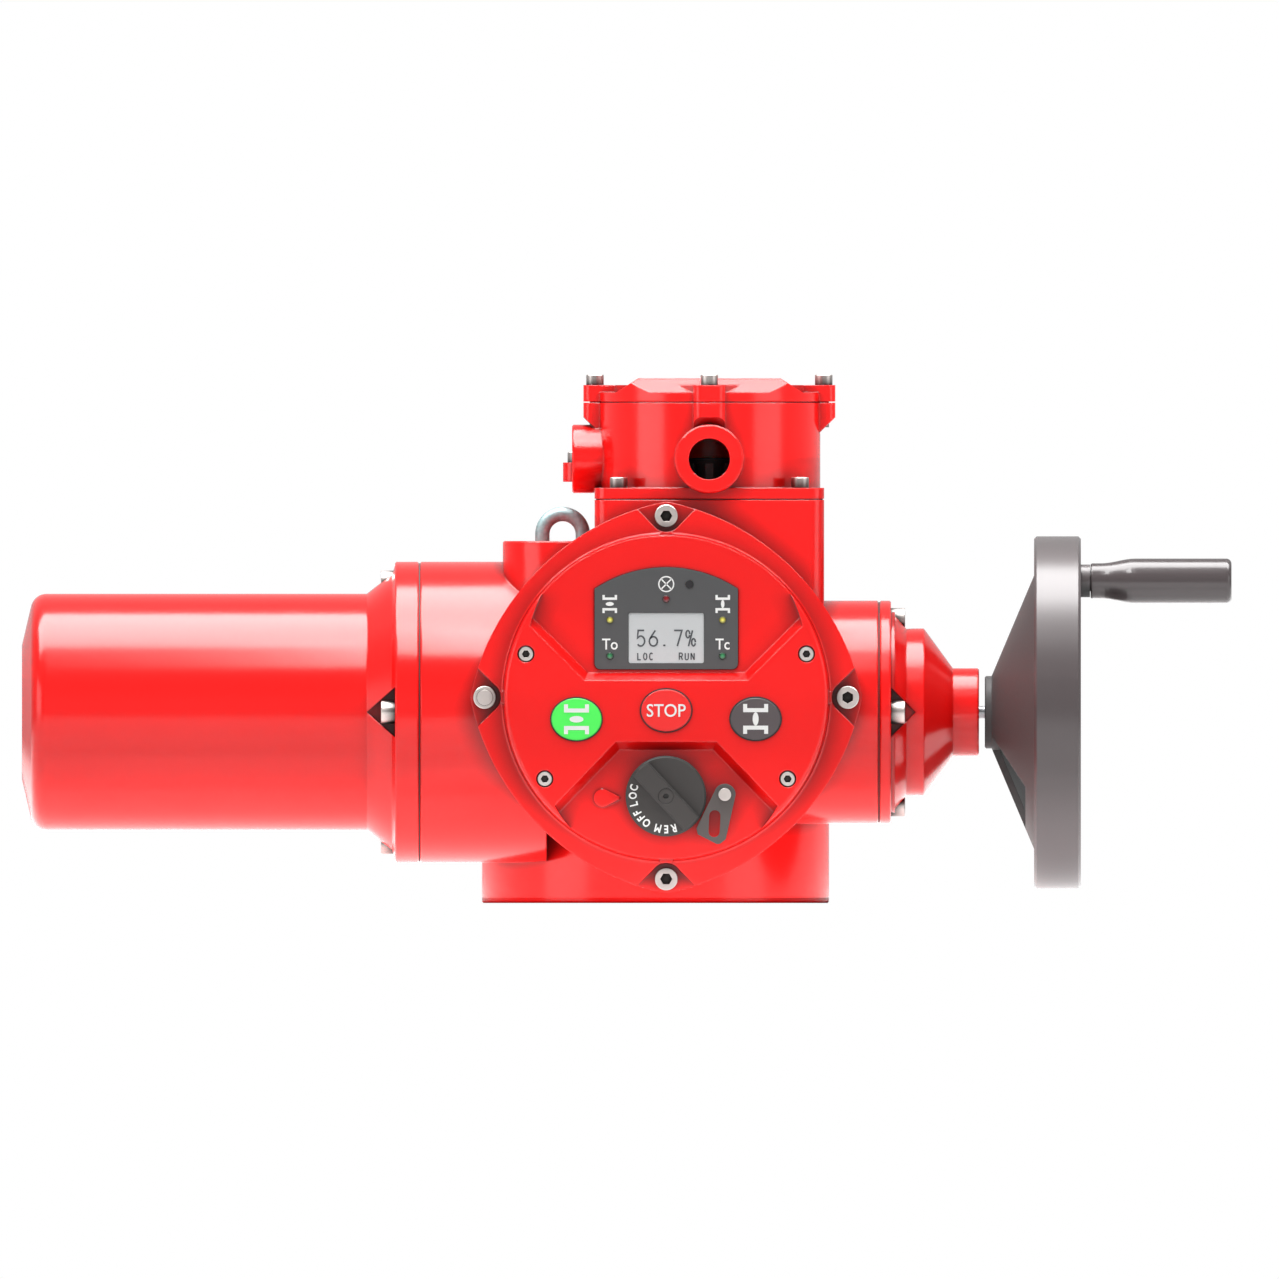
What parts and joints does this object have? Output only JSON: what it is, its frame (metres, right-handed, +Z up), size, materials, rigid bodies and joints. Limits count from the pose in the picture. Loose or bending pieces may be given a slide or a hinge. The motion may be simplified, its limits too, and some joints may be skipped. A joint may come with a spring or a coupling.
{
  "type": "electric valve actuator",
  "caption": "Multi-turn electric valve actuator with motor, worm gear, side handwheel, local control panel, selector and bolted terminal head.",
  "frame": {"origin": "centre of the valve mounting face, on the output axis", "axes": "+Z up along the output axis, +X along the worm axis towards the handwheel, -Y towards the person at the controls"},
  "size_m": [0.6873, 0.3184, 0.3003],
  "materials": {
    "red_paint": "gloss",
    "wheel_coat": "satin",
    "grip_plastic": "satin",
    "zinc_steel": "satin",
    "bearing_steel": "polished",
    "turned_steel": "satin",
    "bronze": "satin",
    "copper": "satin",
    "seal_rubber": "matte",
    "panel_grey": "satin",
    "lcd_glass": "gloss",
    "led_yellow": "gloss",
    "led_green": "gloss",
    "led_red": "gloss",
    "ir_black": "gloss",
    "button_green": "satin",
    "button_red": "satin",
    "button_grey": "satin",
    "knob_plastic": "satin",
    "lever_plastic": "satin",
    "circuit_board": "satin",
    "frame_plastic": "satin",
    "black_plastic": "satin",
    "cast_grey": "matte"
  },
  "bodies": {
    "housing": {"main_housing": "red_paint", "bearing_cover": "turned_steel", "output_bearings": "bearing_steel", "output_seals": "seal_rubber", "stem_plug": "red_paint", "worm_bearings": "bearing_steel", "joint_gaskets": "seal_rubber", "motor_cover": "red_paint", "motor_cover_screws": "zinc_steel", "motor_end_shield": "turned_steel", "motor_stator": "turned_steel", "motor_windings": "copper", "motor_bearings": "bearing_steel", "manual_cover": "red_paint", "manual_cover_screws": "zinc_steel", "shaft_bush": "bronze", "shaft_seal": "seal_rubber", "control_seal": "seal_rubber", "control_cover": "red_paint", "control_cover_screws": "zinc_steel", "board_frame": "frame_plastic", "board_frame_screws": "zinc_steel", "display_board": "circuit_board", "display_panel": "panel_grey", "lcd_module": "lcd_glass", "position_leds": "led_yellow", "torque_leds": "led_green", "fault_led": "led_red", "ir_window": "ir_black", "keypad_mat": "seal_rubber", "lever_pin": "zinc_steel", "power_unit": "circuit_board", "terminal_housing": "red_paint", "terminal_housing_screws": "zinc_steel", "terminal_block": "black_plastic", "terminal_lid": "red_paint", "terminal_lid_screws": "zinc_steel", "earth_screw": "zinc_steel", "lifting_eye": "cast_grey"},
    "output_drive": {"output_sleeve": "turned_steel", "worm_wheel": "bronze", "wheel_key": "turned_steel", "wheel_spacer": "turned_steel"},
    "manual_drive": {"worm_shaft": "turned_steel", "handwheel_shaft": "turned_steel", "handwheel": "wheel_coat", "hub_nut": "zinc_steel", "handle_bolt": "wheel_coat"},
    "grip": {"handle_grip": "grip_plastic"},
    "motor_drive": {"motor_rotor": "turned_steel", "motor_shaft": "turned_steel"},
    "selector": {"selector_knob": "knob_plastic", "selector_screw": "knob_plastic"},
    "lever": {"lock_lever": "lever_plastic"},
    "open_key": {"open_button": "button_green"},
    "stop_key": {"stop_button": "button_red"},
    "close_key": {"close_button": "button_grey"}
  },
  "joints": [
    {"name": "handwheel_spin", "type": "hinge", "parent": "housing", "child": "manual_drive", "pos_m": [0, -0.065, 0.1084], "axis": [1, 0, 0], "continuous": true},
    {"name": "output_turn", "type": "hinge", "parent": "housing", "child": "output_drive", "pos_m": [0, 0, 0], "axis": [0, 0, 1], "continuous": true},
    {"name": "motor_spin", "type": "hinge", "parent": "housing", "child": "motor_drive", "pos_m": [0, -0.065, 0.1084], "axis": [1, 0, 0], "continuous": true},
    {"name": "grip_spin", "type": "hinge", "parent": "manual_drive", "child": "grip", "pos_m": [0, -0.11163, 0.18303], "axis": [1, 0, 0], "continuous": true},
    {"name": "selector_turn", "type": "hinge", "parent": "housing", "child": "selector", "pos_m": [0.0059, -0.201, 0.0607], "axis": [0, 1, 0], "range_deg": [0, 90]},
    {"name": "lever_swing", "type": "hinge", "parent": "housing", "child": "lever", "pos_m": [0.0394, -0.201, 0.0616], "axis": [0, -1, 0], "range_deg": [0, 60]},
    {"name": "open_press", "type": "slide", "parent": "housing", "child": "open_key", "axis": [0, 1, 0], "range_m": [0, 0.0015], "stiffness_N_per_m": 400},
    {"name": "stop_press", "type": "slide", "parent": "housing", "child": "stop_key", "axis": [0, 1, 0], "range_m": [0, 0.0015], "stiffness_N_per_m": 400},
    {"name": "close_press", "type": "slide", "parent": "housing", "child": "close_key", "axis": [0, 1, 0], "range_m": [0, 0.0015], "stiffness_N_per_m": 400}
  ],
  "couplings": [
    {"joint": "output_turn", "follows": "handwheel_spin", "ratio": 0.025}
  ]
}
